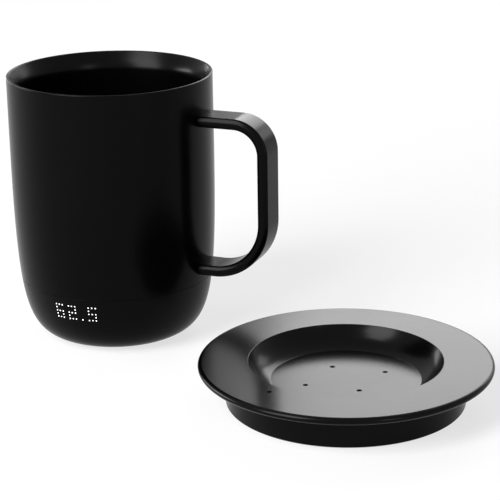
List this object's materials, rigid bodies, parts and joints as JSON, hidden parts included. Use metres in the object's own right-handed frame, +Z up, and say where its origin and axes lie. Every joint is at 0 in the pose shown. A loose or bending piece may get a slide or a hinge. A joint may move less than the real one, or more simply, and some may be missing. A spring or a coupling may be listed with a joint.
{
  "type": "self heating mug",
  "caption": "Battery heated mug with a strap handle, a dot display in its lower casing and a separate charging saucer with contact pins in its recess.",
  "frame": {"origin": "on the table, under the middle of the whole set's box", "axes": "+Z up, +X towards the side that the handle points to, the display faces -Y"},
  "size_m": [0.2198, 0.143, 0.1131],
  "materials": {
    "satin_black_metal": "satin black coating",
    "cup_inside": "smooth dark coating",
    "black_plastic": "satin black",
    "saucer_black": "satin black",
    "black_rubber": "matt",
    "steel": "plain",
    "gold_contact": "gold plated",
    "board": "solder mask",
    "chip": "moulded",
    "cell": "plastic sleeve",
    "film": "polyimide film",
    "felt": "felt",
    "spreader": "plain",
    "clear_plastic": "clear",
    "wire": "insulated wire"
  },
  "bodies": {
    "saucer": {"saucer_top": "saucer_black", "saucer_base": "saucer_black", "saucer_foot_ring": "black_rubber", "saucer_board": "board", "charge_socket": "steel", "pin_carrier": "black_plastic", "status_led": "clear_plastic", "status_light_pipe": "clear_plastic", "saucer_screw_1": "steel", "saucer_screw_2": "steel", "saucer_screw_3": "steel", "saucer_screw_4": "steel"},
    "mug": {"mug_shell": "satin_black_metal", "inner_cup": "cup_inside", "handle": "satin_black_metal", "handle_washer_1": "steel", "handle_washer_2": "steel", "handle_screw_1": "steel", "handle_screw_2": "steel", "lower_casing": "black_plastic", "seam_seal": "black_rubber", "foot_ring": "black_rubber", "base_cover": "black_plastic", "contact_ring_inner": "gold_contact", "contact_ring_outer": "gold_contact", "button_switch": "chip", "main_board": "board", "chassis": "black_plastic", "casing_screw_1": "steel", "casing_screw_2": "steel", "casing_screw_3": "steel", "chassis_screw_1": "steel", "chassis_screw_2": "steel", "chassis_screw_3": "steel", "battery_cell_1": "cell", "battery_cell_2": "cell", "insulation_disc": "felt", "heater_film": "film", "heat_spreader": "spreader", "temperature_sensor": "chip", "heater_lead_1": "wire", "heater_lead_2": "wire", "battery_lead_1": "wire", "battery_lead_2": "wire", "display_board": "board", "display_diffuser": "clear_plastic", "display_flex": "film"},
    "button": {"power_button": "black_plastic"},
    "contact_pin_1": {"contact_pin_1": "gold_contact"},
    "contact_pin_2": {"contact_pin_2": "gold_contact"},
    "contact_pin_3": {"contact_pin_3": "gold_contact"},
    "contact_pin_4": {"contact_pin_4": "gold_contact"}
  },
  "joints": [
    {"name": "mug_lift", "type": "slide", "parent": "saucer", "child": "mug", "axis": [0, 0, 1], "range_m": [0, 0.15]},
    {"name": "button_press", "type": "slide", "parent": "mug", "child": "button", "axis": [0, 0, 1], "range_m": [0, 0.0008], "stiffness_N_per_m": 400, "springref_m": -0.001},
    {"name": "contact_pin_1_rise", "type": "slide", "parent": "saucer", "child": "contact_pin_1", "axis": [0, 0, 1], "range_m": [0, 0.001], "stiffness_N_per_m": 60, "springref_m": -0.001},
    {"name": "contact_pin_2_rise", "type": "slide", "parent": "saucer", "child": "contact_pin_2", "axis": [0, 0, 1], "range_m": [0, 0.001], "stiffness_N_per_m": 60, "springref_m": -0.001},
    {"name": "contact_pin_3_rise", "type": "slide", "parent": "saucer", "child": "contact_pin_3", "axis": [0, 0, 1], "range_m": [0, 0.001], "stiffness_N_per_m": 60, "springref_m": -0.001},
    {"name": "contact_pin_4_rise", "type": "slide", "parent": "saucer", "child": "contact_pin_4", "axis": [0, 0, 1], "range_m": [0, 0.001], "stiffness_N_per_m": 60, "springref_m": -0.001}
  ]
}
